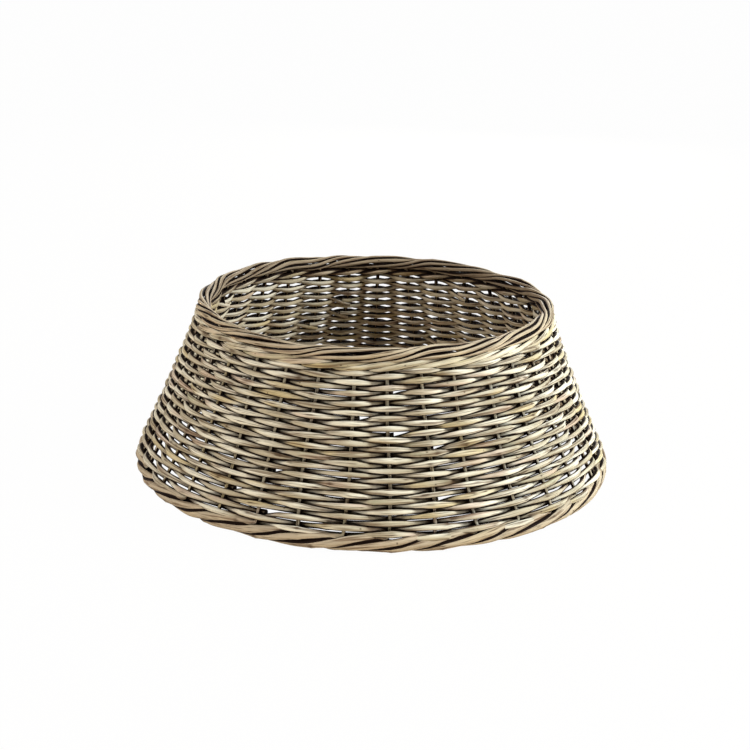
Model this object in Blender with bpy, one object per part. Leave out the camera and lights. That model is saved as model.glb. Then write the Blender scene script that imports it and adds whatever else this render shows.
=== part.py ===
# Willow christmas tree collar: a round wall of woven rods, open at the top and the bottom.
#
# Every rod is a piece of its own. Each stake is one rod: its butt end runs round in the foot
# border, its middle stands in the wall, and its tip is rolled down into the rim border. The
# weavers go in front of one stake and behind the next, up the wall in one spiral. Three wale
# rods lock the top of the weave: each goes in front of two stakes and behind the third.
#
# Metres, +Z up. The collar stands on Z = 0 with its axis on Z, and its front faces -Y.

import math

import bmesh
import bpy
from mathutils import Vector

# Driving dimensions
BASE_DIAMETER = 0.700        # over the foot border
RIM_DIAMETER = 0.519         # over the rim border
HEIGHT = 0.254               # floor to the top of the rim border
WALL_HOLLOW = 0.0046         # the wall's middle lies this far inside a straight cone
GAP = 0.0003                 # rods that touch are this far apart

# Six times this count plus three stakes: odd, so that the weave is one spiral, and shared in
# threes by the wale
STAKE_SIXES = 5
STAKE_TURN_DEG = 4.5         # from the front to the first stake

STAKE_THICK = 0.0055         # in the wall
FOOT_ROD_THICK = 0.0088      # the stake's butt end, in the foot border
RIM_ROD_THICK = 0.0056       # the stake's tip end, in the rim border
WEAVER_THICK = 0.0063        # at its butt
WEAVER_TIP_SHARE = 0.86      # a weaver's tip, as a share of its butt
WEAVE_END_SHARE = 0.4        # where the spiral starts and ends its rods are pared down to this
WALE_THICK = 0.0060
WALE_RODS = 3

FOOT_STRANDS = 4             # rods side by side in the foot border's rope
RIM_STRANDS = 7              # and in the rim border's
FOOT_TRIM = 0.0004           # shaved off the foot, so that it stands level
FOOT_LEAD = 0.016            # from the foot border's last full place to the stake's line
RIM_LEAD = 0.012             # from the stake's line to the rim border's first place
BEND_RISE = 0.0040           # height in which a stake turns into the rim border
ROD_END_SET = 0.003          # a rod's cut end, past the line of the stake that it rests on
ROD_START_SET = 0.014        # and the next weaver's start, past the same stake

WALL_STEPS = 3               # straight stretches of a stake between its bends
FOOT_PLACES = 7              # places of a stake's butt end in the foot border, two to a gap
SIDES_RESOLUTION = 0         # four-sided rods: there are about two thousand bends
FLAT_SHARE = math.cos(math.pi / 4)    # middle to flat of such a rod, as a share of its radius

# Where one weaver ends and the next begins, as shares of the spiral from the foot to the top.
# A maker lets them fall anywhere but in a line
JOINT_SHARES = (0.045, 0.090, 0.137, 0.182, 0.218, 0.258, 0.299, 0.338, 0.378, 0.412, 0.447,
                0.485, 0.528, 0.575, 0.620, 0.667, 0.712, 0.754, 0.791, 0.827, 0.868, 0.912,
                0.951)

# sRGB colours of weathered, grey-washed willow
STAKE_COLOUR = (0.56, 0.49, 0.40)
WEAVER_COLOUR_PALE = (0.74, 0.67, 0.54)
WEAVER_COLOUR_GREY = (0.60, 0.53, 0.45)
WALE_COLOUR = (0.70, 0.62, 0.49)
ROUGHNESS = 0.75

# Worked out
STAKE_COUNT = 6 * STAKE_SIXES + 3
STAKE_STEP = 2 * math.pi / STAKE_COUNT


def rope_radius(thick, strands, outer_radius, places_per_gap):
    """Radius of the circle on which a rope's strands lie, seen along the rope."""
    half_bend = math.pi / (strands * places_per_gap)
    reach = (thick + GAP) / math.cos(half_bend)
    chord = 2 * math.sin(math.pi / strands)
    inner_radius = outer_radius - strands * thick
    lean = STAKE_COUNT / strands / chord / inner_radius
    return reach / math.sqrt(1 - (lean * reach) ** 2) / chord


FOOT_ROPE = rope_radius(FOOT_ROD_THICK, FOOT_STRANDS, BASE_DIAMETER / 2, 2)
RIM_ROPE = rope_radius(RIM_ROD_THICK, RIM_STRANDS, RIM_DIAMETER / 2, 1)
FOOT_TURN = math.pi / FOOT_STRANDS      # phase from one place to the next in the foot border
RIM_TURN = 2 * math.pi / RIM_STRANDS    # and in the rim border
FOOT_HALF_HEIGHT = FOOT_ROPE * math.cos(FOOT_TURN / 2)
FOOT_CORE_RADIUS = BASE_DIAMETER / 2 - FOOT_HALF_HEIGHT - FOOT_ROD_THICK / 2
FOOT_CORE_Z = FOOT_HALF_HEIGHT + FOOT_ROD_THICK / 2 * FLAT_SHARE - FOOT_TRIM
RIM_CORE_RADIUS = RIM_DIAMETER / 2 - RIM_ROPE - RIM_ROD_THICK / 2
RIM_CORE_Z = HEIGHT - RIM_ROPE * math.cos(RIM_TURN / 2) - RIM_ROD_THICK / 2 * FLAT_SHARE

FOOT_TOP_Z = FOOT_CORE_Z + FOOT_HALF_HEIGHT + FOOT_ROD_THICK / 2 * FLAT_SHARE + FOOT_TRIM
WALL_FOOT_Z = FOOT_TOP_Z + STAKE_THICK / 2
RIM_BOTTOM_Z = RIM_CORE_Z - RIM_ROPE
STAKE_TOP_Z = RIM_BOTTOM_Z - BEND_RISE


def wall_radius(z):
    """Radius of the wall's middle surface at a height."""
    share = (z - FOOT_TOP_Z) / (STAKE_TOP_Z - FOOT_TOP_Z)
    straight = FOOT_CORE_RADIUS + (RIM_CORE_RADIUS - FOOT_CORE_RADIUS) * share
    return straight - 4 * WALL_HOLLOW * share * (1 - share)


def wall_lean(z):
    """Angle between the wall and the vertical at a height."""
    run = FOOT_CORE_RADIUS - RIM_CORE_RADIUS
    share = (z - FOOT_TOP_Z) / (STAKE_TOP_Z - FOOT_TOP_Z)
    slope = run + 4 * WALL_HOLLOW * (1 - 2 * share)
    return math.atan(slope / (STAKE_TOP_Z - FOOT_TOP_Z))


# A stake is straight between its steps, so it lies this far off the curved wall
STAKE_SAG = WALL_HOLLOW / WALL_STEPS ** 2
WEAVER_OFFSET = (STAKE_THICK + WEAVER_THICK) / 2 + GAP + STAKE_SAG
WALE_OFFSET = (STAKE_THICK + WALE_THICK) / 2 + GAP + STAKE_SAG
# A wale rod leans this much where it passes between two stakes, which brings its neighbours near
WALE_LEAN = math.atan(2 * WALE_OFFSET / (RIM_CORE_RADIUS * STAKE_STEP))
WALE_REACH = (WALE_THICK + GAP) / math.cos(WALE_LEAN)
WALE_RISE = 2 * WALE_OFFSET * WALE_REACH / math.sqrt(4 * WALE_OFFSET ** 2 - WALE_REACH ** 2)
LEAST_LEAN = wall_lean(STAKE_TOP_Z)
WALE_TOP_Z = RIM_BOTTOM_Z - RIM_ROD_THICK / 2 - GAP
WALE_Z = WALE_TOP_Z - (WALE_RISE + WALE_THICK) / 2
WEAVE_LOW_Z = FOOT_TOP_Z + GAP
WEAVE_HIGH_Z = WALE_Z - (WALE_RISE + WALE_THICK) / 2 - GAP
# The weave's height in rows. Its first and last rounds are pared down, so they rise less
LEAST_ROW = (WEAVER_THICK + GAP) * math.cos(LEAST_LEAN)
WEAVE_ROWS = (WEAVE_HIGH_Z - WEAVE_LOW_Z) / LEAST_ROW
# Whole pairs of stake gaps, so that the weave begins and ends behind a stake
WEAVE_PAIRS = int((WEAVE_ROWS + 1 - 2 * WEAVE_END_SHARE) * STAKE_COUNT / 2)
ROW_RISE = (WEAVE_HIGH_Z - WEAVE_LOW_Z) / (2 * WEAVE_PAIRS / STAKE_COUNT - 1 + 2 * WEAVE_END_SHARE)


def place(turns, radius, z):
    """Point at a number of stake gaps round from the first stake."""
    angle = math.radians(STAKE_TURN_DEG) - math.pi / 2 + turns * STAKE_STEP
    return Vector((radius * math.cos(angle), radius * math.sin(angle), z))


def wall_place(turns, z, out, up=0):
    """Point off the wall's middle surface: out along its normal and up its slope."""
    lean = wall_lean(z)
    radius = wall_radius(z) + out * math.cos(lean) - up * math.sin(lean)
    return place(turns, radius, z + out * math.sin(lean) + up * math.cos(lean))


def rope_place(turns, phase, core_radius, core_z, rope):
    """Point of a strand: phase 0 is under the rope's core, a quarter turn is outside it."""
    return place(turns, core_radius + rope * math.sin(phase), core_z - rope * math.cos(phase))


def linear(value):
    """One sRGB channel as a linear value."""
    return ((value + 0.055) / 1.055) ** 2.4


def willow(name, colour):
    """Plain willow material of one rod."""
    material = bpy.data.materials.new(name)
    material.use_nodes = True
    shader = material.node_tree.nodes["Principled BSDF"]
    shader.inputs["Base Color"].default_value = (*[linear(value) for value in colour], 1)
    shader.inputs["Roughness"].default_value = ROUGHNESS
    shader.inputs["Metallic"].default_value = 0
    return material


def blend(pale, grey, share):
    """Colour between two others."""
    return [a + (b - a) * share for a, b in zip(pale, grey)]


def rod(name, places, colour, collection, twist="Z_UP", tilt=0, trim=False):
    """One rod: a round bar swept through (point, thickness) places and cut square at its ends."""
    curve = bpy.data.curves.new(name + "_line", "CURVE")
    curve.dimensions = "3D"
    curve.twist_mode = twist
    curve.bevel_depth = 1
    curve.bevel_resolution = SIDES_RESOLUTION
    curve.resolution_u = 1
    curve.use_fill_caps = True
    spline = curve.splines.new("POLY")
    spline.points.add(len(places) - 1)
    for point, (position, thick) in zip(spline.points, places):
        point.co = (*position, 1)
        point.radius = thick / 2
        point.tilt = tilt
    line = bpy.data.objects.new(name + "_line", curve)
    collection.objects.link(line)
    mesh = bpy.data.meshes.new_from_object(line)
    bpy.data.objects.remove(line)
    weld(mesh, trim)
    mesh.name = name
    mesh.materials.clear()
    mesh.materials.append(willow("willow_" + name, colour))
    mesh.shade_smooth()
    piece = bpy.data.objects.new(name, mesh)
    collection.objects.link(piece)
    return piece


def weld(mesh, trim):
    """Close a rod's caps, shave it level with the floor and turn its faces outward."""
    bm = bmesh.new()
    bm.from_mesh(mesh)
    bmesh.ops.remove_doubles(bm, verts=bm.verts, dist=GAP / 30)
    if trim:
        geometry = bm.verts[:] + bm.edges[:] + bm.faces[:]
        bmesh.ops.bisect_plane(bm, geom=geometry, dist=GAP / 30, plane_co=(0, 0, 0),
                               plane_no=(0, 0, 1), clear_inner=True)
        bmesh.ops.holes_fill(bm, edges=[edge for edge in bm.edges if edge.is_boundary])
    bmesh.ops.recalc_face_normals(bm, faces=bm.faces)
    bm.to_mesh(mesh)
    bm.free()


def foot_places(stake):
    """Butt end of a stake in the foot border, from its cut end to the bend under the wall."""
    places = []
    lead = FOOT_LEAD / FOOT_CORE_RADIUS / STAKE_STEP
    for step in reversed(range(FOOT_PLACES)):
        phase = math.pi - FOOT_TURN * (step + 0.5)
        point = rope_place(stake - lead - step / 2, phase, FOOT_CORE_RADIUS, FOOT_CORE_Z,
                           FOOT_ROPE)
        places.append((point, FOOT_ROD_THICK))
    bend = STAKE_THICK / FOOT_CORE_RADIUS / STAKE_STEP
    places.append((place(stake - bend, FOOT_CORE_RADIUS + STAKE_THICK / 4,
                         FOOT_TOP_Z - FOOT_ROD_THICK / 4), STAKE_THICK))
    return places


def wall_places(stake):
    """Upright middle of a stake."""
    places = []
    for step in range(WALL_STEPS + 1):
        z = WALL_FOOT_Z + (STAKE_TOP_Z - WALL_FOOT_Z) * step / WALL_STEPS
        places.append((place(stake, wall_radius(z), z), STAKE_THICK))
    return places


def rim_places(stake):
    """Tip end of a stake, rolled round in the rim border: out, over the top and down inside."""
    lead = RIM_LEAD / RIM_CORE_RADIUS / STAKE_STEP
    bend = place(stake + lead / 3, RIM_CORE_RADIUS - STAKE_THICK / 5, RIM_BOTTOM_Z - BEND_RISE / 3)
    places = [(bend, STAKE_THICK)]
    for step in range(RIM_STRANDS):
        point = rope_place(stake + lead + step, RIM_TURN * step, RIM_CORE_RADIUS, RIM_CORE_Z,
                           RIM_ROPE)
        places.append((point, RIM_ROD_THICK))
    return places


def add_stakes(collection):
    """The stakes, one rod each, which also make both borders."""
    for stake in range(STAKE_COUNT):
        places = foot_places(stake) + wall_places(stake) + rim_places(stake)
        rod(f"stake_{stake + 1:02d}", places, STAKE_COLOUR, collection,
            twist="MINIMUM", tilt=math.pi / 4, trim=True)


def weaver_out(turns, past=0):
    """How far off the wall the weave lies, at an even stake or some gaps past it, or at an odd."""
    return WEAVER_OFFSET * (1 if turns % 2 else 2 * past - 1)


def weave_rows(turns):
    """Rows from the weave's nearer end to its middle line at a number of stake gaps."""
    rounds = min(turns, 2 * WEAVE_PAIRS - turns) / STAKE_COUNT
    if rounds < 1:
        return WEAVE_END_SHARE / 2 + (1 + WEAVE_END_SHARE) / 2 * rounds
    return WEAVE_END_SHARE - 1 / 2 + rounds


def weave_z(turns):
    """Height of the weave's middle line."""
    if turns < WEAVE_PAIRS:
        return WEAVE_LOW_Z + weave_rows(turns) * ROW_RISE
    return WEAVE_HIGH_Z - weave_rows(turns) * ROW_RISE


def weaver_thick(turns, first, last):
    """A weaver tapers from its butt to its tip, and is pared down where the spiral ends."""
    taper = 1 - (1 - WEAVER_TIP_SHARE) * (turns - first) / (last - first)
    rounds = min(turns, 2 * WEAVE_PAIRS - turns) / STAKE_COUNT
    pared = WEAVE_END_SHARE + (1 - WEAVE_END_SHARE) * rounds
    return WEAVER_THICK * min(taper, pared)


def weaver_places(first, last):
    """A weaver between the insides of two stakes. It ends behind one, heading inward."""
    places = []
    for turns in range(first, last + 1):
        z = weave_z(turns)
        gap_length = wall_radius(z) * STAKE_STEP
        past = 0
        out = weaver_out(turns)
        if turns == first:
            past = ROD_START_SET / gap_length
            out = weaver_out(turns, past)
        elif turns == last:
            past = ROD_END_SET / gap_length
            out = weaver_out(turns, -past)
        places.append((wall_place(turns + past, z, out), weaver_thick(turns, first, last)))
    return places


def add_weavers(collection):
    """The weavers, which follow each other up the wall in one spiral, joined behind stakes."""
    golden_share = (math.sqrt(5) - 1) / 2
    ends = [2 * round(WEAVE_PAIRS * share) for share in (0, *JOINT_SHARES, 1)]
    for index, (first, last) in enumerate(zip(ends, ends[1:])):
        colour = blend(WEAVER_COLOUR_PALE, WEAVER_COLOUR_GREY, index * golden_share % 1)
        rod(f"weaver_{index + 1:02d}", weaver_places(first, last), colour, collection)


def wale_places(index):
    """A wale rod: in front of two stakes, rising, then behind the third."""
    half = WALE_RISE / 2
    # Gaps from the stake behind which it starts, then its place off the wall and up its slope
    beat = [(0, -WALE_OFFSET, 0), (0.5, 0, -half), (1, WALE_OFFSET, -half),
            (2, WALE_OFFSET, half), (2.5, 0, half)]
    end = ROD_END_SET / RIM_CORE_RADIUS / STAKE_STEP
    places = []
    for repeat in range(STAKE_COUNT // WALE_RODS):
        for along, out, up in beat:
            start = end if repeat == 0 and along == 0 else 0
            turns = index + repeat * WALE_RODS + along + start
            places.append((wall_place(turns, WALE_Z, out, up), WALE_THICK))
    places.append((wall_place(index + STAKE_COUNT - end, WALE_Z, -WALE_OFFSET), WALE_THICK))
    return places


def add_wale(collection):
    """The three rods of the wale under the rim border."""
    for index in range(WALE_RODS):
        rod(f"wale_rod_{index + 1}", wale_places(index), WALE_COLOUR, collection)


def main():
    """Clear the scene and build the collar."""
    for item in list(bpy.data.objects):
        bpy.data.objects.remove(item)
    collection = bpy.data.collections.new("willow_tree_collar")
    bpy.context.scene.collection.children.link(collection)
    add_stakes(collection)
    add_weavers(collection)
    add_wale(collection)


main()
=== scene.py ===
import math

import bpy
import numpy as np
from bpy.props import FloatProperty, FloatVectorProperty, IntProperty, PointerProperty
from mathutils import Matrix, Vector


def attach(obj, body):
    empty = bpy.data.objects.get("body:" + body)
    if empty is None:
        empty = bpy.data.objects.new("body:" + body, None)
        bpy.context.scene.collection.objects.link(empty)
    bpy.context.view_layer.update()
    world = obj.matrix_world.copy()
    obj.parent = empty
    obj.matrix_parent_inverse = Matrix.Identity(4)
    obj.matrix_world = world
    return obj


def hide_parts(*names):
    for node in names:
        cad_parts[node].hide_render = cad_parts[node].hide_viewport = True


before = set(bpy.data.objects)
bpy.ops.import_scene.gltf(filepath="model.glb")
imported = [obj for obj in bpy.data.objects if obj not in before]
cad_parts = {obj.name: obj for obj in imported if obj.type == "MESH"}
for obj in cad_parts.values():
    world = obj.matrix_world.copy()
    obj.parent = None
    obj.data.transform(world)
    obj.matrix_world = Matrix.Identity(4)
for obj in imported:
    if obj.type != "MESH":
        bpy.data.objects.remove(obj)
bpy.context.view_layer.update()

bl_info = {
    "name": "Willow tree collar",
    "version": (1, 0, 0),
    "blender": (4, 5, 0),
    "location": "3D View > Sidebar > Collar",
    "description": "Dresses the packed willow tree collar: its rods, their finish and a studio",
    "category": "Object",
}

# A christmas tree collar woven from willow rods with an antique wash: a dark stain that was
# wiped off where a cloth reached and stayed in the crevices. The same dark colours are also
# painted as shade where rods touch, behind the stakes and inside the wall and the borders.
# Every CAD rod is replaced by a round one that follows the same path, with the bends, tapers
# and knots of a real rod.
# Metres, +Z up, front at -Y.

GOLDEN_SHARE = (math.sqrt(5) - 1) / 2

# The weave as in the CAD source
STAKE_COUNT = 33
WALE_RODS = 3
FOOT_STRANDS = 4         # rods side by side in the foot border's rope
RIM_STRANDS = 7          # and in the rim border's
FOOT_PLACES = 7          # places of a stake's butt in the foot border, two to a stake gap
CAD_WALL_STEPS = 3       # straight stretches of a CAD stake in the wall
WEAVE_END_SHARE = 0.4    # thickness of the CAD weave's first and last rounds
FOOT_LEAD = 0.016        # from the foot border's last place to the stake's line
RIM_LEAD = 0.012         # from the stake's line to the rim border's first place
BEND_RISE = 0.0040       # height in which a stake turns into the rim border
FOOT_TRIM = 0.0004       # shaved off the foot of the CAD rods
GAP = 0.0003             # between CAD rods that touch
FLAT_SHARE = math.cos(math.pi / 4)    # middle to flat of a CAD rod, as a share of its radius
# Where one weaver ends and the next begins, as shares of the spiral
JOINT_SHARES = (0.045, 0.090, 0.137, 0.182, 0.218, 0.258, 0.299, 0.338, 0.378, 0.412, 0.447,
                0.485, 0.528, 0.575, 0.620, 0.667, 0.712, 0.754, 0.791, 0.827, 0.868, 0.912,
                0.951)


def srgb(code):
    """An sRGB hex colour as linear red, green and blue."""
    channels = [int(code[place:place + 2], 16) / 255 for place in (1, 3, 5)]
    return [c / 12.92 if c <= 0.04045 else ((c + 0.055) / 1.055) ** 2.4 for c in channels]


def length(name, description, default):
    """A length that the sidebar shows."""
    return FloatProperty(name=name, description=description, default=default, min=0,
                         precision=4, subtype="DISTANCE", unit="LENGTH")


def share(name, description, default):
    """A number without a unit."""
    return FloatProperty(name=name, description=description, default=default, precision=3)


def degrees(name, description, default):
    """An angle, given in degrees."""
    return FloatProperty(name=name, description=description, default=math.radians(default),
                         subtype="ANGLE", unit="ROTATION")


def watts(name, description, default):
    """The power of a lamp."""
    return FloatProperty(name=name, description=description + ", in watts", default=default,
                         min=0)


def colour(name, description, code):
    """A colour that the sidebar shows."""
    return FloatVectorProperty(name=name, description=description, default=srgb(code), size=3,
                               min=0, max=1, subtype="COLOR")


class CollarSizes(bpy.types.PropertyGroup):
    """Sizes of the collar and of its rods."""

    base_diameter: length("Base diameter", "Over the foot border", 0.700)
    rim_diameter: length("Rim diameter", "Over the rim border", 0.519)
    height: length("Height", "Floor to the top of the rim border", 0.254)
    wall_hollow: length("Wall hollow", "How far the wall lies inside a straight cone", 0.0046)
    stake_turn: degrees("First stake", "From the front to the first stake", 4.5)
    stake_thick: length("Stake", "Thickness of a stake in the wall", 0.0055)
    foot_rod_thick: length("Foot rod", "Thickness of a stake's butt in the foot border", 0.0088)
    rim_rod_thick: length("Rim rod", "Thickness of a stake's tip in the rim border", 0.0056)
    weaver_thick: length("Weaver", "Thickness of a weaver at its butt", 0.0063)
    wale_thick: length("Wale rod", "Thickness of a wale rod", 0.0060)
    joint_end: length("Joint, old rod", "How far a weaver's cut end runs past its stake", 0.009)
    joint_back: length("Joint, new rod", "How far before it the next weaver starts", 0.004)
    joint_lead: length("Joint lead", "Length in which a new rod comes out to its row", 0.038)
    joint_drop: length("Joint drop", "How far a new rod starts below its row", 0.0068)
    joint_depth: length("Joint depth", "How far it starts behind its row", 0.0030)
    fullness: share("Fullness", "Thickness of weavers and wale rods against the CAD's", 1.33)
    foot_fullness: share("Foot fullness", "The same for the rods of the foot border", 1.22)
    bulge: share("Bulge", "How much thicker a weaver is over a stake than between two", 0.06)
    slack: share("Slack", "How much thinner a weaver lies inside a stake", 0.14)
    spring: length("Spring", "How far a weaver stands off its stake", 0.0006)
    clearance: length("Clearance", "From the rounded borders to the floor and the top", 0.0009)
    wale_lift: length("Wale lift", "How far the wale is drawn up under the rim border", 0.0004)
    settle: length("Settle", "How far the first rows sink onto the foot border", 0.0029)
    gather: length("Gather", "How far the last rows are drawn up to the wale", 0.0022)


class CollarHand(bpy.types.PropertyGroup):
    """Unevenness that hand work and grown rods give."""

    sway: length("Sway", "How far the wall strays from a true circle", 0.0013)
    lift: length("Lift", "How far the rows stray from level", 0.0011)
    beat: length("Beat", "How far a single pass of a weaver strays from its row", 0.0010)
    stray: share("Stray", "How far a stake strays sideways, in stake gaps", 0.055)
    front_gather: degrees("Front gather", "How far the front stakes are drawn together", 3.4)
    waviness: length("Waviness", "Small bends along a rod", 0.0006)
    uneven: share("Uneven", "How much a rod's thickness varies along it", 0.10)
    rod_spread: share("Rod spread", "How much one rod's thickness differs from another's", 0.08)
    loose: degrees("Loose", "How far a border's strands stray round it", 20)
    deep: share("Deep", "How much deeper one rim strand lies than the next", 0.15)
    knot_spacing: length("Knot spacing", "From knot to knot along a rod", 0.085)
    knot_height: share("Knot height", "Swelling at a knot, as a share of the radius", 0.16)
    seed: IntProperty(name="Seed", description="Picks the pattern of unevenness", default=3)


class CollarFinish(bpy.types.PropertyGroup):
    """Colours of the antique-washed willow."""

    cream: colour("Cream", "Washed willow where the cloth rubbed it clean", "#E6DCC4")
    grey: colour("Grey", "Washed willow where more of the stain stayed", "#B8AA8E")
    ochre: colour("Ochre", "Sun side of a rod", "#C6B07E")
    rose: colour("Rose", "Where the peeled skin left a flush", "#C6A891")
    sage: colour("Sage", "Where the rod was cut green", "#B2AF8E")
    tan: colour("Tan", "Rods of the two borders", "#C0AB8D")
    stake: colour("Stake", "Weathered stakes between the rows", "#A79E8B")
    # Painted shade: the inside of the wall is tinted with this browner, darker colour
    shade: colour("Shade", "Inside of the wall, which stayed browner", "#98764A")
    # Umber is the real stain in the grain. Together with the stain colour it is also painted
    # shade in the crevices, where rods touch, where a rod goes behind a stake and on the
    # borders' inner faces
    umber: colour("Umber", "Thin stain in the grain and beside the crevices", "#52300C")
    stain: colour("Stain", "Dark stain left in the crevices", "#140600")
    pith: colour("Pith", "Cut ends, specks, bark on the knots and dark fibres", "#4A3524")
    roughness: share("Roughness", "Dry wood under a thin wash", 0.68)


class CollarStage(bpy.types.PropertyGroup):
    """The studio and the camera."""

    distance: length("Camera distance", "From the collar's axis", 2.5)
    elevation: degrees("Elevation", "Camera's angle above the horizon", 18.21)
    roll: degrees("Roll", "Camera's turn about its own line of sight", 1.25)
    aside: length("Aside", "How far right of the axis the camera looks", 0.0024)
    aim: length("Aim", "Height that the camera looks at", 0.1334)
    lens: FloatProperty(name="Lens", description="Focal length on a 36 mm sensor", default=81.1,
                        subtype="DISTANCE_CAMERA")
    key: watts("Key", "Lamp at the right", 102.0)
    fill: watts("Fill", "Lamp at the left", 39.0)
    front: watts("Front", "Low lamp in front", 28.0)
    back: watts("Back", "Lamp behind", 40.0)
    sky: share("Sky", "Strength of the white room round the collar", 0.045)
    key_colour: colour("Key colour", "Slightly cool daylight from the right", "#E9F5FD")
    floor: colour("Floor", "Warm white paper", "#D6C4AA")
    glow: share("Glow", "How much of the floor's white is its own", 0.985)


GROUPS = (("collar_sizes", CollarSizes), ("collar_hand", CollarHand),
          ("collar_finish", CollarFinish), ("collar_stage", CollarStage))


# Nodes

MATHS = "ShaderNodeMath"
VECTOR = "ShaderNodeVectorMath"
RANGE = "ShaderNodeMapRange"
NOISE = "ShaderNodeTexNoise"
CELLS = "ShaderNodeTexVoronoi"
MIX = "ShaderNodeMix"
READ = "GeometryNodeInputNamedAttribute"
STORE = "GeometryNodeStoreNamedAttribute"
SMOOTH = {"interpolation_type": "SMOOTHSTEP"}


def add_node(tree, kind, inputs=(), out=0, **settings):
    """Add a node with its settings and links, and return one of its outputs.

    Inputs go by name or in order: an input that is given a socket is linked to it.
    """
    node = tree.nodes.new(kind)
    for name, value in settings.items():
        setattr(node, name, value)
    if not isinstance(inputs, dict):
        inputs = dict(enumerate(inputs))
    for name, value in inputs.items():
        if isinstance(value, bpy.types.NodeSocket):
            tree.links.new(value, node.inputs[name])
        else:
            node.inputs[name].default_value = value
    return node.outputs[out] if node.outputs else node


# Geometry Nodes: a willow rod along a line

ROD_SIDES = 12
SEED_SPREAD = 61.0       # keeps the bends and knots of two rods apart
LINE_STEP = 0.0065       # between the points of a rod's line
ROD_SOCKETS = (
    ("Thickness", "NodeSocketFloat", 0.006),
    ("Sides", "NodeSocketInt", 12),
    ("Waviness", "NodeSocketFloat", 0.0005),
    ("Wave length", "NodeSocketFloat", 0.045),
    ("Uneven", "NodeSocketFloat", 0.08),
    ("Uneven length", "NodeSocketFloat", 0.060),
    ("Knot spacing", "NodeSocketFloat", 0.085),
    ("Knot width", "NodeSocketFloat", 0.009),
    ("Knot height", "NodeSocketFloat", 0.15),
    ("Seed", "NodeSocketFloat", 0.0),
    ("Willow", "NodeSocketMaterial", None),
)


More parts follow.
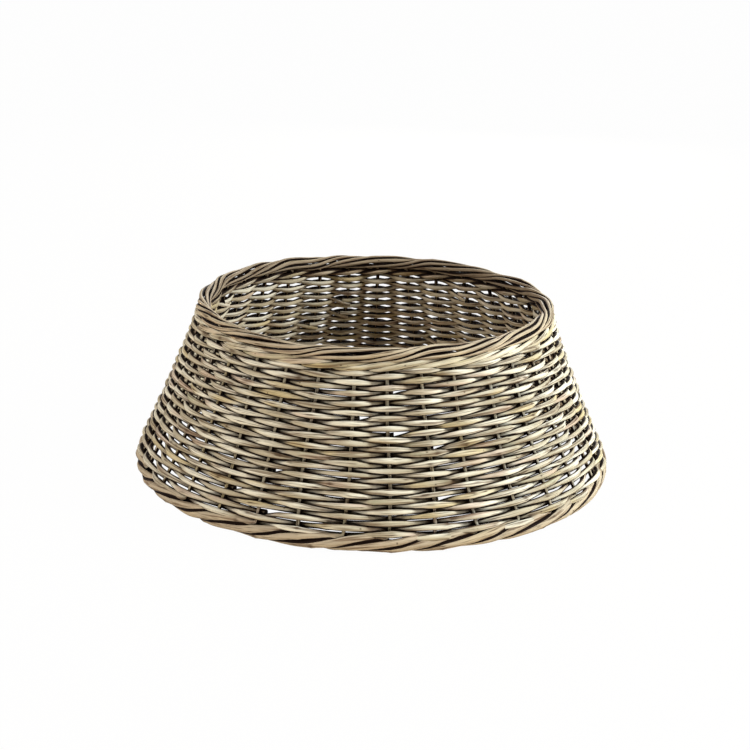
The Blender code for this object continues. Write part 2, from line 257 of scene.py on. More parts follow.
def make_rod_tree():
    """Tree that sweeps a rod along a line of points and swells it at its knots."""
    tree = bpy.data.node_groups.new("Willow rod", "GeometryNodeTree")
    tree.is_modifier = True
    tree.interface.new_socket("Line", in_out="INPUT", socket_type="NodeSocketGeometry")
    tree.interface.new_socket("Rod", in_out="OUTPUT", socket_type="NodeSocketGeometry")
    for name, kind, default in ROD_SOCKETS:
        socket = tree.interface.new_socket(name, in_out="INPUT", socket_type=kind)
        if default is not None:
            socket.default_value = default
    asked = add_node(tree, "NodeGroupInput").node.outputs
    along = add_node(tree, READ, {"Name": "rod_along"}, "Attribute", data_type="FLOAT")
    line = add_node(tree, "GeometryNodeMeshToCurve", {"Mesh": asked["Line"]})

    # Small bends, different on every rod
    place = add_node(tree, "GeometryNodeInputPosition")
    bend = add_node(tree, VECTOR, [place, asked["Wave length"]], operation="DIVIDE")
    bend = add_node(tree, NOISE, {"Vector": bend, "W": asked["Seed"], "Scale": 1.0,
                                  "Detail": 1.0}, "Color", noise_dimensions="4D")
    bend = add_node(tree, VECTOR, [bend, (0.5, 0.5, 0.5)], operation="SUBTRACT")
    reach = add_node(tree, MATHS, [asked["Waviness"], 2.0], operation="MULTIPLY")
    bend = add_node(tree, VECTOR, {0: bend, "Scale": reach}, operation="SCALE")
    line = add_node(tree, "GeometryNodeSetPosition", {"Geometry": line, "Offset": bend})

    # Thickness: taper, slow swelling, and the knots where leaves grew
    swell = add_node(tree, MATHS, [along, asked["Uneven length"]], operation="DIVIDE")
    swell = add_node(tree, MATHS, [swell, asked["Seed"]], operation="ADD")
    swell = add_node(tree, NOISE, {"W": swell, "Scale": 1.0, "Detail": 1.0},
                     noise_dimensions="1D")
    swell = add_node(tree, MATHS, [swell, 2.0, -1.0], operation="MULTIPLY_ADD")
    swell = add_node(tree, MATHS, [swell, asked["Uneven"], 1.0], operation="MULTIPLY_ADD")
    knot = add_node(tree, MATHS, [along, asked["Knot spacing"]], operation="DIVIDE")
    knot = add_node(tree, MATHS, [knot, asked["Seed"]], operation="ADD")
    knot = add_node(tree, CELLS, {"W": knot, "Scale": 1.0}, "Distance",
                    voronoi_dimensions="1D")
    knot = add_node(tree, MATHS, [knot, asked["Knot spacing"]], operation="MULTIPLY")
    knot = add_node(tree, RANGE, [knot, 0.0, asked["Knot width"], 1.0, 0.0], **SMOOTH)
    swell = add_node(tree, MATHS, [knot, asked["Knot height"], swell],
                     operation="MULTIPLY_ADD")
    radius = add_node(tree, READ, {"Name": "rod_share"}, "Attribute", data_type="FLOAT")
    for factor in (asked["Thickness"], 0.5, swell):
        radius = add_node(tree, MATHS, [radius, factor], operation="MULTIPLY")
    line = add_node(tree, STORE, {"Geometry": line, "Name": "rod_knot", "Value": knot},
                    data_type="FLOAT", domain="POINT")

    # The round section remembers its own direction, so that the grain has no seam
    ring = add_node(tree, "GeometryNodeCurvePrimitiveCircle",
                    {"Resolution": asked["Sides"], "Radius": 1.0}, "Curve")
    ring = add_node(tree, STORE, {"Geometry": ring, "Name": "rod_round", "Value": place},
                    data_type="FLOAT_VECTOR", domain="POINT")
    rod = add_node(tree, "GeometryNodeCurveToMesh",
                   {"Curve": line, "Profile Curve": ring, "Scale": radius, "Fill Caps": True})
    half = add_node(tree, MATHS, [asked["Thickness"], 0.5], operation="MULTIPLY")
    grain = add_node(tree, READ, {"Name": "rod_round"}, "Attribute", data_type="FLOAT_VECTOR")
    grain = add_node(tree, VECTOR, {0: grain, "Scale": half}, operation="SCALE")
    depth = add_node(tree, "ShaderNodeCombineXYZ", {"Z": along})
    grain = add_node(tree, VECTOR, [grain, depth], operation="ADD")
    rod = add_node(tree, STORE, {"Geometry": rod, "Name": "rod_place", "Value": grain},
                   data_type="FLOAT_VECTOR", domain="POINT")

    # The cut ends are the faces with more than four corners, and they stay flat
    corners = add_node(tree, "GeometryNodeCornersOfFace", out="Total")
    is_side = add_node(tree, MATHS, [corners, 4.5], operation="LESS_THAN")
    is_cut = add_node(tree, MATHS, [1.0, is_side], operation="SUBTRACT")
    rod = add_node(tree, STORE, {"Geometry": rod, "Name": "rod_cut", "Value": is_cut},
                   data_type="FLOAT", domain="FACE")
    rod = add_node(tree, "GeometryNodeSetShadeSmooth",
                   {"Geometry": rod, "Shade Smooth": is_side})
    for name in ("rod_round", "rod_share", "rod_along"):
        rod = add_node(tree, "GeometryNodeRemoveAttribute", {"Geometry": rod, "Name": name})
    rod = add_node(tree, "GeometryNodeRealizeInstances", {"Geometry": rod})
    rod = add_node(tree, "GeometryNodeSetMaterial",
                   {"Geometry": rod, "Material": asked["Willow"]})
    add_node(tree, "NodeGroupOutput", {"Rod": rod})
    return tree


def smooth_line(places, step):
    """Points close together on a smooth line through the given rows of numbers.

    The first three numbers of a row are its place, and the others go along with it.
    """
    rows = np.array(places, float)
    rows = np.vstack([2 * rows[0] - rows[1], rows, 2 * rows[-1] - rows[-2]])
    line = []
    for before, start, end, after in zip(rows, rows[1:], rows[2:], rows[3:]):
        count = max(1, round(float(np.linalg.norm(end[:3] - start[:3])) / step))
        for index in range(count):
            t = index / count
            line.append(((2 * start) + (end - before) * t
                         + (2 * before - 5 * start + 4 * end - after) * t ** 2
                         + (3 * start - before - 3 * end + after) * t ** 3) / 2)
    line.append(rows[-2])
    return np.array(line)


def add_rod(name, line, tone, thick, material, node, context):
    """Sweep a rod along a line, as a piece that stands for one CAD node.

    Each row of the line is a place, a thickness as a share, the direction square to the wall
    or out of the rope, how far the rod lies to that side from -1 to 1, how clean it is there,
    which also sets the painted shade in its crevices, and how much it has of the borders.
    """
    hand = context.scene.collar_hand
    steps = np.linalg.norm(np.diff(line[:, :3], axis=0), axis=1)
    columns = {
        "rod_share": ("FLOAT", line[:, 3]),
        "rod_face": ("FLOAT_VECTOR", line[:, 4:7]),
        "rod_side": ("FLOAT", line[:, 7]),
        "rod_clean": ("FLOAT", line[:, 8]),
        "rod_border": ("FLOAT", line[:, 9]),
        "rod_along": ("FLOAT", np.concatenate([[0], np.cumsum(steps)])),
        "rod_tone": ("FLOAT", np.full(len(line), tone)),
    }
    mesh = bpy.data.meshes.new(name + "_line")
    mesh.from_pydata(line[:, :3].tolist(), [(i, i + 1) for i in range(len(line) - 1)], [])
    for key, (kind, values) in columns.items():
        column = mesh.attributes.new(key, kind, "POINT")
        field = "vector" if kind == "FLOAT_VECTOR" else "value"
        column.data.foreach_set(field, np.asarray(values, np.float32).ravel())
    carrier = bpy.data.objects.new(name + "_line", mesh)
    context.scene.collection.objects.link(carrier)
    tree = bpy.data.node_groups.get("Willow rod") or make_rod_tree()
    modifier = carrier.modifiers.new("Willow rod", "NODES")
    modifier.node_group = tree
    asked = {"Thickness": thick, "Sides": ROD_SIDES, "Waviness": hand.waviness,
             "Uneven": hand.uneven, "Knot spacing": hand.knot_spacing,
             "Knot height": hand.knot_height, "Seed": hand.seed + tone * SEED_SPREAD,
             "Willow": material}
    for item in tree.interface.items_tree:
        if item.name in asked:
            modifier[item.identifier] = asked[item.name]
    context.view_layer.update()
    shape = carrier.evaluated_get(context.evaluated_depsgraph_get())
    rod_mesh = bpy.data.meshes.new_from_object(shape)
    bpy.data.objects.remove(carrier)
    bpy.data.meshes.remove(mesh)
    if not rod_mesh.polygons:
        raise RuntimeError(f"{name}: the rod has no faces")
    rod_mesh.name = name
    piece = bpy.data.objects.new(name, rod_mesh)
    context.scene.collection.objects.link(piece)
    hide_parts(node)
    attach(piece, "root")


# Where the rods lie

WALL_STEPS = 8           # stretches of a stake's line in the wall
WEAVE_POINTS = 10        # points of a weaver's line from stake to stake
WEAVER_TIP_SHARE = 0.94  # thickness of a weaver's tip against its butt
LEAD_TAPER = 0.35        # how much thinner a new rod starts
DROP_CURVE = 1.3         # how steeply it comes up to its row
LAST_ROWS = 0.10         # how much thicker the last rows under the wale are
SETTLE_ROUNDS = 4        # rounds in which the weave sinks to the foot or rises to the wale
FOOT_TIGHTNESS = 0.92    # the foot border's strands against the CAD's circle
FOOT_ROLL = math.radians(26)    # how much further up its strands lie on the outside
FOOT_SPREAD = 1.5        # how much more its rods differ in thickness than the weavers do
RIM_TUCK_PLACES = 2      # places of a stake's tip that are tucked into the rim border
TUCK = 0.4               # how much deeper and thinner the tip gets there
TIP_SPREAD = 0.12        # how much the tips differ in thickness
# A wale rod in front of two stakes and behind the third: stake gaps along, how far out of the
# wall's middle, and how far up, as a share of half its rise
WALE_BEAT = ((0, -1, 0.4), (0.5, 0, -0.9), (1, 1, -0.8), (1.5, 1.1, 0), (2, 1, 0.8),
             (2.5, 0, 0.9))
WALE_STOP = 0.1          # how far its end stops short of its start, in stake gaps

# The last three numbers of a line's row: how far the rod lies to its side, how clean it is,
# which also sets how much painted shade lies in its crevices, and how much it has of the borders
FOOT_LOOK = (1.0, -0.44, 1.0)
RIM_LOOK = (1.0, -0.72, 1.0)
WALL_LOOK = (0.95, -0.06, 0.0)
BEND_LOOK = (0.0, 0.1, 0.5)
WALE_LOOK = (-0.30, 0.3)         # a wale rod's side changes along it

class Layout:
    """Places in the collar, worked out from its sizes as in the CAD source."""

    def __init__(self, sizes, hand):
        self.sizes, self.hand = sizes, hand
        self.step = 2 * math.pi / STAKE_COUNT
        # The borders are ropes, and a strand turns round the core from place to place
        self.foot_rope = self.rope_radius(sizes.foot_rod_thick, FOOT_STRANDS,
                                          sizes.base_diameter / 2, places_per_gap=2)
        self.rim_rope = self.rope_radius(sizes.rim_rod_thick, RIM_STRANDS,
                                         sizes.rim_diameter / 2, places_per_gap=1)
        self.foot_turn = math.pi / FOOT_STRANDS
        self.rim_turn = 2 * math.pi / RIM_STRANDS
        half_height = self.foot_rope * math.cos(self.foot_turn / 2)
        half_rod = sizes.foot_rod_thick / 2
        self.foot_radius = sizes.base_diameter / 2 - half_height - half_rod
        self.foot_z = half_height + half_rod * FLAT_SHARE - FOOT_TRIM
        self.rim_radius = sizes.rim_diameter / 2 - self.rim_rope - sizes.rim_rod_thick / 2
        self.rim_z = (sizes.height - self.rim_rope * math.cos(self.rim_turn / 2)
                      - sizes.rim_rod_thick / 2 * FLAT_SHARE)
        self.foot_top = self.foot_z + half_height + half_rod * FLAT_SHARE + FOOT_TRIM
        self.wall_foot = self.foot_top + sizes.stake_thick / 2
        self.rim_bottom = self.rim_z - self.rim_rope
        self.stake_top = self.rim_bottom - BEND_RISE
        # A CAD stake is straight between its bends, so it lies a little off the hollow wall
        sag = sizes.wall_hollow / CAD_WALL_STEPS ** 2
        self.weaver_off = (sizes.stake_thick + sizes.weaver_thick) / 2 + GAP + sag
        self.wale_off = (sizes.stake_thick + sizes.wale_thick) / 2 + GAP + sag
        lean = math.atan(2 * self.wale_off / (self.rim_radius * self.step))
        reach = (sizes.wale_thick + GAP) / math.cos(lean)
        self.wale_rise = (2 * self.wale_off * reach
                          / math.sqrt(4 * self.wale_off ** 2 - reach ** 2))
        wale_half = (self.wale_rise + sizes.wale_thick) / 2
        self.wale_z = self.rim_bottom - sizes.rim_rod_thick / 2 - GAP - wale_half
        self.weave_low = self.foot_top + GAP
        self.weave_high = self.wale_z - wale_half - GAP
        # Whole pairs of stake gaps, so that the weave begins and ends behind a stake
        room = self.weave_high - self.weave_low
        rows = room / ((sizes.weaver_thick + GAP) * math.cos(self.wall_lean(self.stake_top)))
        self.pairs = int((rows + 1 - 2 * WEAVE_END_SHARE) * STAKE_COUNT / 2)
        self.row_rise = room / (2 * self.pairs / STAKE_COUNT - 1 + 2 * WEAVE_END_SHARE)
        # Round rods stand higher than the four-sided ones of the CAD source
        self.foot_rope_z = (self.foot_rope * FOOT_TIGHTNESS + half_rod * sizes.foot_fullness
                            + sizes.clearance)
        self.rim_rope_z = (sizes.height - self.rim_rope - sizes.rim_rod_thick / 2
                           - sizes.clearance)
        self.wale_line_z = self.wale_z + sizes.wale_lift

    @staticmethod
    def rope_radius(thick, strands, outer_radius, places_per_gap):
        """Radius of the circle on which a rope's strands lie, seen along the rope."""
        reach = (thick + GAP) / math.cos(math.pi / (strands * places_per_gap))
        chord = 2 * math.sin(math.pi / strands)
        lean = STAKE_COUNT / strands / chord / (outer_radius - strands * thick)
        return reach / math.sqrt(1 - (lean * reach) ** 2) / chord

    def wall_share(self, z):
        """Height as a share of the wall's."""
        return (z - self.foot_top) / (self.stake_top - self.foot_top)

    def wall_radius(self, z):
        """Radius of the wall's middle surface."""
        part = self.wall_share(z)
        straight = self.foot_radius + (self.rim_radius - self.foot_radius) * part
        return straight - 4 * self.sizes.wall_hollow * part * (1 - part)

    def wall_lean(self, z):
        """Angle between the wall and the vertical."""
        slope = (self.foot_radius - self.rim_radius
                 + 4 * self.sizes.wall_hollow * (1 - 2 * self.wall_share(z)))
        return math.atan(slope / (self.stake_top - self.foot_top))

    def stray(self, turns, z):
        """How far the stakes stray sideways at a height, in stake gaps.

        Here and below, factors and phases inside a sine only keep a pattern from repeating.
        """
        part = min(max(self.wall_share(z), 0.0), 1.0)
        fade = math.sin(math.pi * part) ** 0.5

        def sideways(stake):
            stake %= STAKE_COUNT
            return (math.sin(2.4 * stake) + 0.7 * math.sin(1.13 * stake + 17 * z)
                    + 0.5 * math.sin(4.7 * stake + 31 * z))

        low = math.floor(turns)
        mix = turns - low
        mix = mix * mix * (3 - 2 * mix)
        return self.hand.stray * fade * (sideways(low) * (1 - mix) + sideways(low + 1) * mix)

    def place(self, turns, radius, z):
        """Point at a number of stake gaps round from the first stake, as a hand leaves it."""
        angle = self.sizes.stake_turn + (turns + self.stray(turns, z)) * self.step
        angle -= self.hand.front_gather * math.sin(angle) * max(0.0, math.cos(angle)) ** 2
        # The foot border lies flat on the floor, and rows stray from level above it
        rise = min(max(z / (2 * self.foot_top) - 0.5, 0.0), 1.0)
        radius += self.hand.sway * (math.sin(2 * angle - 0.5)
                                    + 0.6 * math.sin(3 * angle + 0.7 + 9 * z)
                                    + 0.4 * math.sin(7 * angle + 2.2 - 14 * z))
        z += self.hand.lift * rise * (math.sin(2 * angle - 0.6)
                                      + 0.7 * math.sin(5 * angle + 1.7 + 21 * z)
                                      + 0.5 * math.sin(11 * angle + 0.4 - 34 * z))
        angle -= math.pi / 2
        return [radius * math.cos(angle), radius * math.sin(angle), z]

    def outward(self, turns, z):
        """Direction out of the wall, square to it."""
        angle = self.sizes.stake_turn + turns * self.step - math.pi / 2
        lean = self.wall_lean(z)
        return [math.cos(angle) * math.cos(lean), math.sin(angle) * math.cos(lean),
                math.sin(lean)]

    def wall_place(self, turns, z, out, up=0.0):
        """Point off the wall's middle: out along its normal and up its slope."""
        lean = self.wall_lean(z)
        radius = self.wall_radius(z) + out * math.cos(lean) - up * math.sin(lean)
        return self.place(turns, radius, z + out * math.sin(lean) + up * math.cos(lean))

    def rope_row(self, turns, phase, core_radius, core_z, rope, thick, look):
        """Row of a strand's line: phase 0 is under the core, a quarter turn is outside it."""
        angle = self.sizes.stake_turn + turns * self.step - math.pi / 2
        place = self.place(turns, core_radius + rope * math.sin(phase),
                           core_z - rope * math.cos(phase))
        face = [math.sin(phase) * math.cos(angle), math.sin(phase) * math.sin(angle),
                -math.cos(phase)]
        return [*place, thick, *face, *look]

    def stake_rows(self, stake):
        """A stake from its butt in the foot border, up the wall and round the rim border."""
        sizes = self.sizes
        butt = sizes.foot_rod_thick * sizes.foot_fullness / sizes.stake_thick
        butt *= 1 + self.hand.rod_spread * FOOT_SPREAD * math.sin(2.7 * stake + 1.0)
        tip = sizes.rim_rod_thick / sizes.stake_thick
        lead = FOOT_LEAD / self.foot_radius / self.step
        rows = []
        for step in reversed(range(FOOT_PLACES)):
            loose = self.hand.loose / 2 * math.sin(2.9 * stake + 1.7 * step)
            phase = math.pi + FOOT_ROLL - self.foot_turn * (step + 0.5) + loose
            rows.append(self.rope_row(stake - lead - step / 2, phase, self.foot_radius,
                                      self.foot_rope_z, self.foot_rope * FOOT_TIGHTNESS, butt,
                                      FOOT_LOOK))
        place = self.place(stake - lead / 3, self.foot_radius - sizes.stake_thick / 5,
                           self.foot_top + sizes.stake_thick / 5)
        rows.append([*place, (1 + butt) / 2, *self.outward(stake, place[2]), *BEND_LOOK])
        for step in range(WALL_STEPS + 1):
            z = self.wall_foot + (self.stake_top - self.wall_foot) * step / WALL_STEPS
            rows.append([*self.place(stake, self.wall_radius(z), z), 1.0,
                         *self.outward(stake, z), *WALL_LOOK])
        lead = RIM_LEAD / self.rim_radius / self.step
        place = self.place(stake + lead / 3, self.rim_radius - sizes.stake_thick / 5,
                           self.rim_bottom - BEND_RISE / 3 - sizes.clearance)
        rows.append([*place, 1.0, *self.outward(stake, place[2]), *BEND_LOOK])
        for step in range(RIM_STRANDS + RIM_TUCK_PLACES):
            loose = self.hand.loose * math.sin(2.3 * stake + 1.9 * step)
            tuck = 1 - TUCK * (max(0, step - RIM_STRANDS + 1) / RIM_TUCK_PLACES)
            deep = 1 + self.hand.deep * math.sin(3.7 * stake + 2.3 * step)
            thick = tip * (1 + TIP_SPREAD * math.sin(1.9 * stake)) * tuck
            rows.append(self.rope_row(stake + lead + step, self.rim_turn * step + loose,
                                      self.rim_radius, self.rim_rope_z,
                                      self.rim_rope * tuck * deep, thick, RIM_LOOK))
        return rows

    def weave_rows(self, turns):
        """Rows from the weave's nearer end to its middle line."""
        rounds = min(turns, 2 * self.pairs - turns) / STAKE_COUNT
        if rounds < 1:
            return WEAVE_END_SHARE / 2 + (1 + WEAVE_END_SHARE) / 2 * rounds
        return WEAVE_END_SHARE - 1 / 2 + rounds

    def weave_z(self, turns):
        """Height of the weave's middle line."""
        if turns < self.pairs:
            return self.weave_low + self.weave_rows(turns) * self.row_rise
        return self.weave_high - self.weave_rows(turns) * self.row_rise

    def weaver_line(self, first, last):
        """A weaver from behind one stake to behind another, in front of every second."""
        sizes = self.sizes
        gap = self.wall_radius(self.weave_z(first)) * self.step
        start, end = first - sizes.joint_back / gap, last + sizes.joint_end / gap
        rows = []
        for index in range(math.ceil((end - start) * WEAVE_POINTS) + 1):
            turns = min(start + index / WEAVE_POINTS, end)
            z = self.weave_z(min(max(turns, 0), 2 * self.pairs))
            rounds = turns / STAKE_COUNT, (2 * self.pairs - turns) / STAKE_COUNT
            low, high = (max(0.0, 1 - count / SETTLE_ROUNDS) for count in rounds)
            z += sizes.gather * high - sizes.settle * low
            swing = -math.cos(math.pi * turns)
            taper = 1 - (1 - WEAVER_TIP_SHARE) * (turns - start) / (end - start)
            lead = max(0.0, 1 - (turns - start) * gap / sizes.joint_lead)
            thick = taper * sizes.fullness * (1 + sizes.bulge * (2 * swing ** 2 - 1))
            thick *= 1 - sizes.slack * (1 - high) * max(0.0, -swing) ** 2
            thick *= (1 - LEAD_TAPER * lead) * (1 + LAST_ROWS * high)
            # Each pass lies a little off its row, and not as the pass below it does
            beat = 0.6 * math.sin(1.75 * turns + 0.4) + 0.4 * math.sin(2.63 * turns + 2.0)
            up = self.hand.beat * beat - sizes.joint_drop * lead ** DROP_CURVE
            out = (self.weaver_off + sizes.spring) * swing - sizes.joint_depth * lead
            rows.append([*self.wall_place(turns, z, out, up), thick, *self.outward(turns, z),
                         swing, 0.0, 0.0])
        return np.array(rows)

    def wale_rows(self, index):
        """A wale rod: in front of two stakes, rising, then behind the third."""
        beats = [(repeat * WALE_RODS + along, out, up * (self.wale_rise / 2))
                 for repeat in range(STAKE_COUNT // WALE_RODS) for along, out, up in WALE_BEAT]
        rows = []
        for along, out, up in (*beats, (STAKE_COUNT - WALE_STOP, -1, 0)):
            place = self.wall_place(index + along, self.wale_line_z, out * self.wale_off, up)
            rows.append([*place, 1.0, *self.outward(index + along, self.wale_line_z), out,
                         *WALE_LOOK])
        return rows


# Materials

def washed_willow(name, finish, ground, border):
    """Peeled willow with an antique wash, rubbed off by hand.

    It gives the eye chalky pale rods with faint streaks along them, each a little greyer,
    yellower or rosier than the next, and brown to near-black lines where rods touch, which are
    partly the stain and partly painted shade. It also paints shade where a rod goes behind a
    stake, inside the wall and inside the borders.
    """
    material = bpy.data.materials.new(name)
    material.use_nodes = True
    tree = material.node_tree
    shader = tree.nodes["Principled BSDF"]
    read = {key: add_node(tree, "ShaderNodeAttribute", out=out, attribute_name="rod_" + key)
            for key, out in (("tone", "Fac"), ("place", "Vector"), ("face", "Vector"),
                             ("side", "Fac"), ("clean", "Fac"), ("border", "Fac"),
                             ("knot", "Fac"), ("cut", "Fac"))}

    # Every rod reads its own stretch of the grain
    far = add_node(tree, MATHS, [read["tone"], 40.0], operation="MULTIPLY")
    shift = add_node(tree, "ShaderNodeCombineXYZ", {"X": read["tone"], "Z": far})
    grain = add_node(tree, VECTOR, [read["place"], shift], operation="ADD")

    # Cells per metre, across the rod and along it
    look = {}
    for key, scale, detail in (
            ("fibre", (1400, 1400, 40), 3.0),       # 0.7 mm wide and 25 mm long
            ("streak", (480, 480, 16), 2.0),        # 2 mm by 60 mm
            ("patch", (60, 60, 11), 1.0),           # slow change over a hand's width
            ("flush", (45, 45, 9), 1.0),            # and a slower one
            ("wrinkle", (300, 300, 700), 2.0)):     # skin wrinkles 1.4 mm apart
        at = add_node(tree, VECTOR, [grain, scale], operation="MULTIPLY")
        look[key] = add_node(tree, NOISE, {"Vector": at, "Scale": 1.0, "Detail": detail})

    # Small dark specks round the buds, and the bark that stayed on the knots
    at = add_node(tree, VECTOR, [grain, (120, 120, 70)], operation="MULTIPLY")
    speck = add_node(tree, CELLS, {"Vector": at, "Scale": 1.0}, "Distance")
    speck = add_node(tree, RANGE, [speck, 0.16, 0.05, 0.0, 1.0], **SMOOTH)
    budding = add_node(tree, RANGE, [look["patch"], 0.50, 0.62], **SMOOTH)
    speck = add_node(tree, MATHS, [speck, budding], operation="MULTIPLY")
    bark = add_node(tree, RANGE, [look["streak"], 0.46, 0.60], **SMOOTH)
    bark = add_node(tree, MATHS, [bark, read["knot"]], operation="MULTIPLY")

    # How far the cloth that wiped the stain off reached, and where painted shade falls: the
    # flanks, where the next rows touch, stay dark, and a rod gets darker as it goes behind a
    # stake. This is partly the real wash and partly painted shade. Ahead is 1 where a rod
    # stands out of the wall on the side in view, and -1 where it is sunk in it
    normal = add_node(tree, "ShaderNodeNewGeometry", out="Normal")
    facing = add_node(tree, VECTOR, [normal, read["face"]], "Value", operation="DOT_PRODUCT")
    ahead = add_node(tree, MATHS, [facing], operation="SIGN")
    ahead = add_node(tree, MATHS, [ahead, read["side"]], operation="MULTIPLY")
    behind = add_node(tree, MATHS, [ahead, 0.0], operation="MINIMUM")
    behind = add_node(tree, MATHS, [behind, 7.0], operation="POWER")
    over = add_node(tree, MATHS, [ahead, 0.0], operation="MAXIMUM")
    # The wall was wiped from outside and from inside. The ropes of the borders were wiped on
    # their skin only, and there the wash and the painted shade between the strands end in a
    # sharper line
    crisp = add_node(tree, MATHS, [read["border"], 1.5, 1.0], operation="MULTIPLY_ADD")
    away = add_node(tree, MATHS, [facing, -1.0], operation="MULTIPLY")
    away = add_node(tree, MATHS, [facing, read["border"], away], operation="MULTIPLY_ADD")
    wiped_and_unshaded = add_node(tree, MATHS, [facing, away], operation="MAXIMUM")
    wiped_and_unshaded = add_node(tree, MATHS, [wiped_and_unshaded, crisp], operation="MULTIPLY")
    # Paler where a rod stands out, painted shade where it sinks behind a stake
    for value, weight in ((over, 0.14), (ahead, 0.12), (behind, 0.20)):
        wiped_and_unshaded = add_node(tree, MATHS, [value, weight, wiped_and_unshaded], operation="MULTIPLY_ADD")
    # The inside of the wall was wiped wider, and gets painted shade: a browner, darker tint
    inner = add_node(tree, RANGE, [facing, 0.0, -0.3], **SMOOTH)
    gain = add_node(tree, MATHS, [over, 0.20, 0.11], operation="MULTIPLY_ADD")
    wiped_and_unshaded = add_node(tree, MATHS, [inner, gain, wiped_and_unshaded], operation="MULTIPLY_ADD")
    # The inner faces of the two borders, towards the middle, get painted shade: a darker mask
    # and an umber tint
    at = add_node(tree, "ShaderNodeTexCoord", out="Object")
    at = add_node(tree, VECTOR, [at, (-1, -1, 0)], operation="MULTIPLY")
    at = add_node(tree, VECTOR, [at], operation="NORMALIZE")
    inside = add_node(tree, VECTOR, [at, normal], "Value", operation="DOT_PRODUCT")
    inside = add_node(tree, MATHS, [inside, read["border"]], operation="MULTIPLY")
    inside = add_node(tree, RANGE, [inside, 0.05, 0.65], **SMOOTH)
    wiped_and_unshaded = add_node(tree, MATHS, [inside, -0.20, wiped_and_unshaded], operation="MULTIPLY_ADD")
    wiped_and_unshaded = add_node(tree, MATHS, [wiped_and_unshaded, read["clean"]], operation="ADD")
    wiped_and_unshaded = add_node(tree, MATHS, [look["streak"], 0.36, wiped_and_unshaded], operation="MULTIPLY_ADD")
    wiped_and_unshaded = add_node(tree, MATHS, [wiped_and_unshaded, 0.07], operation="SUBTRACT")

    # Layers of colour: where each begins and is full, how much it covers, and its tint
    skin = (*ground[0], 1.0)
    for value, low, high, most, tint in (
            (look["patch"], 0.38, 0.62, 1.00, ground[1]),
            (look["flush"], 0.56, 0.70, 0.75, finish.ochre),
            (look["flush"], 0.44, 0.32, 0.55, finish.rose),
            (look["patch"], 0.66, 0.74, 0.60, finish.sage),
            (read["border"], 0.0, 1.0, 0.75, border),
            # Painted shade inside the wall
            (inner, 0.0, 1.0, 0.32, finish.shade),
            # Painted shade on the borders' inner faces
            (inside, 0.0, 1.0, 0.45, finish.umber),
            (look["streak"], 0.50, 0.66, 0.70, finish.umber),
            (look["fibre"], 0.53, 0.70, 0.62, finish.pith),
            (speck, 0.0, 1.0, 0.80, finish.pith),
            (bark, 0.0, 1.0, 0.75, finish.pith),
            (read["cut"], 0.0, 1.0, 1.00, finish.pith),
            # Umber and stain where the mask is low: partly the real wash, partly painted shade
            (wiped_and_unshaded, 1.00, 0.78, 0.80, finish.umber),
            (wiped_and_unshaded, 0.89, 0.76, 1.00, finish.stain)):
        part = add_node(tree, RANGE, [value, low, high, 0.0, most], **SMOOTH)
        skin = add_node(tree, MIX, {0: part, 6: skin, 7: (*tint, 1.0)}, 2, data_type="RGBA")
    tree.links.new(skin, shader.inputs["Base Color"])

    # Relief of the fibres and wrinkles, and hardly any sheen, least where the stain and the
    # painted shade lie
    relief = add_node(tree, MATHS, [look["fibre"], 0.6], operation="MULTIPLY")
    relief = add_node(tree, MATHS, [look["wrinkle"], 0.4, relief], operation="MULTIPLY_ADD")
    bump = add_node(tree, "ShaderNodeBump", {"Strength": 0.5, "Distance": 0.0006,
                                             "Height": relief})
    tree.links.new(bump, shader.inputs["Normal"])
    dry = add_node(tree, RANGE, [wiped_and_unshaded, 0.10, 0.50, finish.roughness + 0.12,
                                 finish.roughness])
    tree.links.new(dry, shader.inputs["Roughness"])
    shader.inputs["IOR"].default_value = 1.5
    shader.inputs["Specular IOR Level"].default_value = 0.10
    return material


def paper_floor(stage):
    """Matt white paper: it shows white to the camera, and keeps a faint shadow."""
    material = bpy.data.materials.new("white_paper_matt")
    material.use_nodes = True
    tree = material.node_tree
    shader = tree.nodes["Principled BSDF"]
    # Fibres about a millimetre long, a little darker than the sheet
    at = add_node(tree, "ShaderNodeTexCoord", out="Object")
    fibre = add_node(tree, NOISE, {"Vector": at, "Scale": 900.0})
    fibre = add_node(tree, RANGE, [fibre, 0.3, 0.7])
    dim = [0.97 * part for part in stage.floor]
    tint = add_node(tree, MIX, {0: fibre, 6: (*stage.floor, 1.0), 7: (*dim, 1.0)}, 2,
                    data_type="RGBA")
    tree.links.new(tint, shader.inputs["Base Color"])
    shader.inputs["Roughness"].default_value = 0.9
    seen = add_node(tree, MATHS, [seen_directly(tree), stage.glow], operation="MULTIPLY")
    glow = add_node(tree, "ShaderNodeEmission", {"Strength": 1.0})
    both = add_node(tree, "ShaderNodeMixShader", [seen, shader.outputs[0], glow])
    tree.links.new(both, tree.nodes["Material Output"].inputs["Surface"])
    return material


def seen_directly(tree):
    """One where the camera looks, straight or by a gloss or a clear body, and zero elsewhere."""
    path = add_node(tree, "ShaderNodeLightPath").node.outputs
    seen = add_node(tree, MATHS, [path["Is Camera Ray"], path["Is Glossy Ray"]],
                    operation="MAXIMUM")
    return add_node(tree, MATHS, [seen, path["Is Transmission Ray"]], operation="MAXIMUM")


# Operators

TONE_STRETCH = 7.31      # makes another number from 0 to 1 out of a rod's tone
FLOOR_RADIUS = 9.0
FLOOR_SIDES = 96
SENSOR_WIDTH = 36.0      # millimetres
# Degrees right of the front, degrees up and metres away, then the soft box's side
LAMPS = {
    "key": ((82, 33, 2.4), 1.0),
    "fill": ((-72, 36, 2.6), 1.1),
    "front": ((-4, 1, 3.0), 0.34),
    "back": ((172, 14, 2.8), 1.0),
}


def tone_of(index, offset):
    """A number from 0 to 1 that is spread evenly over the rods."""
    return (index * GOLDEN_SHARE + offset) % 1


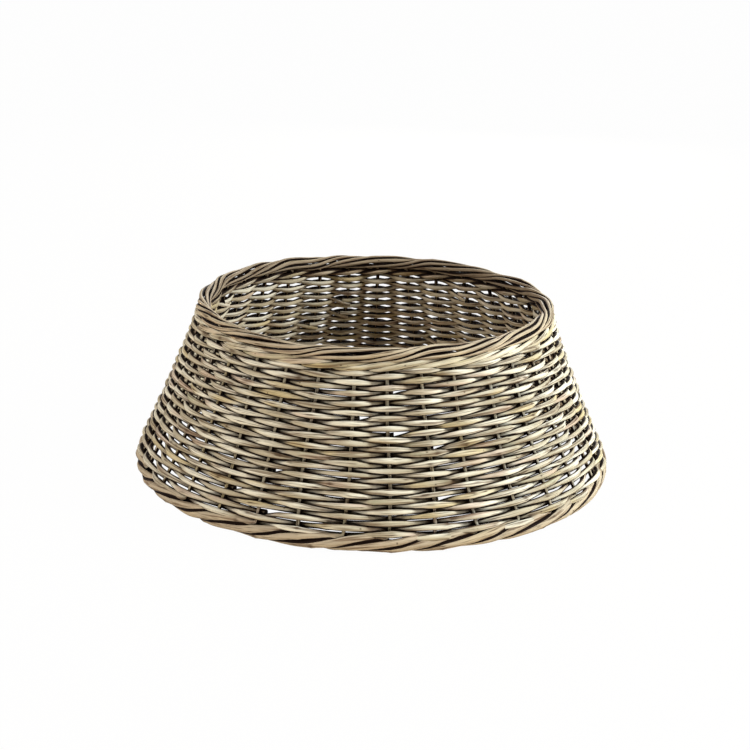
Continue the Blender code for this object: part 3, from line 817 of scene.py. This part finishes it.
def spread_of(tone, spread):
    """Thickness of one rod against the others."""
    return 1 + spread * (2 * ((tone * TONE_STRETCH) % 1) - 1)


class COLLAR_OT_stakes(bpy.types.Operator):
    """Make the stakes, whose ends are also the foot border and the rim border"""

    bl_idname = "collar.add_stakes"
    bl_label = "Add stakes and borders"

    def execute(self, context):
        scene = context.scene
        sizes, finish = scene.collar_sizes, scene.collar_finish
        layout = Layout(sizes, scene.collar_hand)
        material = washed_willow("willow_peeled_antique_wash_stake", finish,
                                 (finish.stake, finish.grey), finish.tan)
        for stake in range(STAKE_COUNT):
            tone = tone_of(stake, offset=0.13)
            line = smooth_line(layout.stake_rows(stake), LINE_STEP)
            add_rod(f"stake_rod_{stake + 1:02d}", line, tone, sizes.stake_thick, material,
                    f"stake_{stake + 1:02d}", context)
        return {"FINISHED"}


class COLLAR_OT_weavers(bpy.types.Operator):
    """Make the weavers, which follow each other up the wall in one spiral"""

    bl_idname = "collar.add_weavers"
    bl_label = "Add weavers"

    def execute(self, context):
        scene = context.scene
        sizes, hand, finish = scene.collar_sizes, scene.collar_hand, scene.collar_finish
        layout = Layout(sizes, hand)
        material = washed_willow("willow_peeled_antique_wash_weaver", finish,
                                 (finish.cream, finish.grey), finish.tan)
        ends = [2 * round(layout.pairs * part) for part in (0, *JOINT_SHARES, 1)]
        for index, (first, last) in enumerate(zip(ends, ends[1:])):
            tone = tone_of(index, offset=0.47)
            thick = sizes.weaver_thick * spread_of(tone, hand.rod_spread)
            add_rod(f"weaver_rod_{index + 1:02d}", layout.weaver_line(first, last), tone, thick,
                    material, f"weaver_{index + 1:02d}", context)
        return {"FINISHED"}


class COLLAR_OT_wale(bpy.types.Operator):
    """Make the three rods that lock the top of the weave"""

    bl_idname = "collar.add_wale"
    bl_label = "Add wale"

    def execute(self, context):
        scene = context.scene
        sizes, finish = scene.collar_sizes, scene.collar_finish
        layout = Layout(sizes, scene.collar_hand)
        material = washed_willow("willow_peeled_antique_wash_wale", finish,
                                 (finish.cream, finish.grey), finish.ochre)
        for index in range(WALE_RODS):
            tone = tone_of(index, offset=0.71)
            line = smooth_line(layout.wale_rows(index), LINE_STEP)
            add_rod(f"wale_{index + 1}", line, tone, sizes.wale_thick * sizes.fullness, material,
                    f"wale_rod_{index + 1}", context)
        return {"FINISHED"}


class COLLAR_OT_stage(bpy.types.Operator):
    """Make the floor, the lamps, the white room and the camera"""

    bl_idname = "collar.add_stage"
    bl_label = "Add stage"

    def execute(self, context):
        scene = context.scene
        stage = scene.collar_stage
        scene.view_settings.view_transform = "Standard"
        self.add_floor(scene, stage)
        self.add_room(scene, stage)
        lamps = {name: self.add_lamp(scene, name + "_lamp", getattr(stage, name), place, size)
                 for name, (place, size) in LAMPS.items()}
        lamps["key"].color = stage.key_colour
        self.add_camera(scene, stage)
        return {"FINISHED"}

    @staticmethod
    def add_floor(scene, stage):
        """A round sheet of paper under the collar."""
        angles = [2 * math.pi * i / FLOOR_SIDES for i in range(FLOOR_SIDES)]
        points = [(FLOOR_RADIUS * math.cos(angle), FLOOR_RADIUS * math.sin(angle), 0.0)
                  for angle in angles]
        mesh = bpy.data.meshes.new("floor")
        mesh.from_pydata(points, [], [tuple(range(FLOOR_SIDES))])
        mesh.materials.append(paper_floor(stage))
        floor = bpy.data.objects.new("floor", mesh)
        scene.collection.objects.link(floor)

    @staticmethod
    def add_room(scene, stage):
        """White behind the collar, and a soft even light from all round."""
        world = bpy.data.worlds.new("white_room")
        world.use_nodes = True
        scene.world = world
        tree = world.node_tree
        strength = add_node(tree, RANGE, [seen_directly(tree), 0.0, 1.0, stage.sky, 1.0])
        room = tree.nodes["Background"]
        room.inputs["Color"].default_value = (1, 1, 1, 1)
        tree.links.new(strength, room.inputs["Strength"])

    @staticmethod
    def add_lamp(scene, name, power, place, size):
        """A square soft box: degrees right of the front, degrees up and metres away."""
        aside, up, away = math.radians(place[0]), math.radians(place[1]), place[2]
        back = Vector((math.sin(aside) * math.cos(up), -math.cos(aside) * math.cos(up),
                       math.sin(up)))
        data = bpy.data.lights.new(name, "AREA")
        data.energy, data.size = power, size
        lamp = bpy.data.objects.new(name, data)
        lamp.location = back * away + Vector((0, 0, scene.collar_sizes.height / 2))
        lamp.rotation_euler = back.to_track_quat("Z", "Y").to_euler()
        scene.collection.objects.link(lamp)
        return data

    @staticmethod
    def add_camera(scene, stage):
        """The camera at the photograph's angle."""
        up = stage.elevation
        forward = Vector((0, math.cos(up), -math.sin(up)))
        right = Vector((1, 0, 0))
        above = right.cross(forward)
        turn = stage.roll
        x_axis = right * math.cos(turn) + above * math.sin(turn)
        y_axis = above * math.cos(turn) - right * math.sin(turn)
        data = bpy.data.cameras.new("camera")
        data.lens, data.sensor_width = stage.lens, SENSOR_WIDTH
        data.dof.use_dof = False
        camera = bpy.data.objects.new("camera", data)
        matrix = Matrix((x_axis, y_axis, -forward)).transposed().to_4x4()
        matrix.translation = Vector((stage.aside, 0, stage.aim)) - forward * stage.distance
        camera.matrix_world = matrix
        scene.collection.objects.link(camera)
        scene.camera = camera


OPERATORS = (COLLAR_OT_stakes, COLLAR_OT_weavers, COLLAR_OT_wale, COLLAR_OT_stage)


class COLLAR_PT_panel(bpy.types.Panel):
    """Steps and settings of the collar"""

    bl_label = "Willow tree collar"
    bl_idname = "COLLAR_PT_panel"
    bl_space_type = "VIEW_3D"
    bl_region_type = "UI"
    bl_category = "Collar"

    def draw(self, context):
        for operator in OPERATORS:
            self.layout.operator(operator.bl_idname)
        for name, group in GROUPS:
            box = self.layout.box()
            box.label(text=group.__doc__)
            for key in group.__annotations__:
                box.prop(getattr(context.scene, name), key)


def register():
    """Register the settings, the operators and the panel."""
    for name, group in GROUPS:
        bpy.utils.register_class(group)
        setattr(bpy.types.Scene, name, PointerProperty(type=group))
    for item in (*OPERATORS, COLLAR_PT_panel):
        bpy.utils.register_class(item)


def unregister():
    """Take them away again."""
    for item in (COLLAR_PT_panel, *reversed(OPERATORS)):
        bpy.utils.unregister_class(item)
    for name, group in reversed(GROUPS):
        delattr(bpy.types.Scene, name)
        bpy.utils.unregister_class(group)


def main():
    """Make the collar and its stage."""
    register()
    bpy.ops.collar.add_stakes()
    bpy.ops.collar.add_weavers()
    bpy.ops.collar.add_wale()
    bpy.ops.collar.add_stage()


if __name__ == "__main__":
    main()
